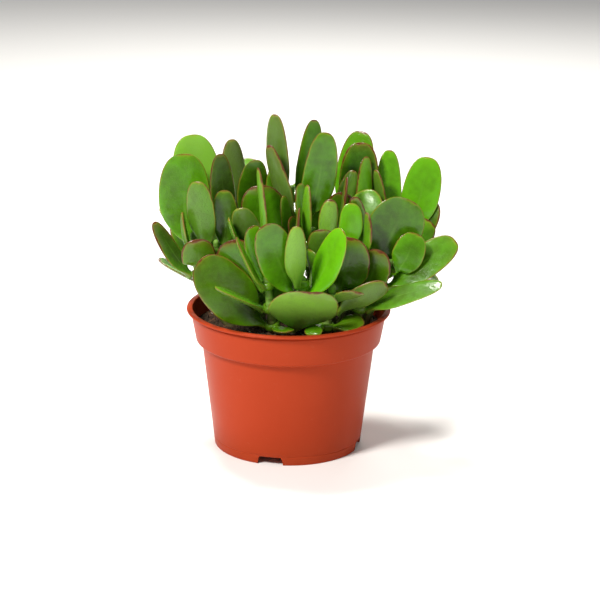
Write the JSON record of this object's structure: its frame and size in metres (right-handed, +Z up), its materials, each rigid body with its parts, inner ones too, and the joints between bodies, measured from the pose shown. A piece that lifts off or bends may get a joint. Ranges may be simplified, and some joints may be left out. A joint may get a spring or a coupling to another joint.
{
  "type": "potted succulent plant",
  "caption": "Young jade plant with thick spoon-shaped leaves in opposite pairs on short forked stems, in a tapered round plastic nursery pot with a plain deep rim band.",
  "frame": {"origin": "on the surface the pot stands on, under the middle of the whole object's bounding box; the pot's own axis is about 7.8 mm to -X and 6.7 mm to -Y of it", "axes": "+Z up, +X to the right and -Y to the front as the plant is usually seen"},
  "size_m": [0.1536, 0.1186, 0.171],
  "materials": {
    "terracotta_plastic": "moulded, semi-gloss terracotta colour",
    "potting_soil": "damp crumbly potting mix",
    "jade_stem": "waxy green-brown skin",
    "jade_leaf": "waxy, semi-gloss leaf skin with reddish margins"
  },
  "bodies": {
    "root": {"leaves_A70": "jade_leaf", "leaves_A86": "jade_leaf", "leaves_A93": "jade_leaf", "leaves_B70": "jade_leaf", "leaves_B80": "jade_leaf", "leaves_B92": "jade_leaf", "leaves_C103": "jade_leaf", "leaves_C82": "jade_leaf", "leaves_D106": "jade_leaf", "leaves_D92": "jade_leaf", "leaves_E105": "jade_leaf", "leaves_F100": "jade_leaf", "leaves_F118": "jade_leaf", "leaves_G114": "jade_leaf", "leaves_H104": "jade_leaf", "leaves_H119": "jade_leaf", "leaves_I112": "jade_leaf", "leaves_I126": "jade_leaf", "leaves_J117": "jade_leaf", "leaves_K116": "jade_leaf", "leaves_L112": "jade_leaf", "leaves_L98": "jade_leaf", "leaves_M108": "jade_leaf", "leaves_M85": "jade_leaf", "leaves_N112": "jade_leaf", "leaves_O110": "jade_leaf", "leaves_P101": "jade_leaf", "leaves_Q80": "jade_leaf", "leaves_Q92": "jade_leaf", "leaves_R79": "jade_leaf", "leaves_R88": "jade_leaf", "leaves_R96": "jade_leaf", "leaves_S100": "jade_leaf", "leaves_S109": "jade_leaf", "leaves_T110": "jade_leaf", "leaves_U70": "jade_leaf", "leaves_U78": "jade_leaf", "leaves_U87": "jade_leaf", "leaves_V78": "jade_leaf", "leaves_W106": "jade_leaf", "leaves_W84": "jade_leaf", "leaves_X102": "jade_leaf", "leaves_X80": "jade_leaf", "leaves_X91": "jade_leaf", "leaves_Y80": "jade_leaf", "leaves_Y91": "jade_leaf", "leaves_Z76": "jade_leaf", "leaves_Z86": "jade_leaf", "leaves_Z95": "jade_leaf", "pot": "terracotta_plastic", "soil": "potting_soil", "stem_back": "jade_stem", "stem_back_left": "jade_stem", "stem_back_right": "jade_stem", "stem_centre": "jade_stem", "stem_front": "jade_stem", "stem_front_right": "jade_stem", "stem_left": "jade_stem", "stem_right": "jade_stem", "stem_right_centre": "jade_stem"}
  },
  "joints": []
}
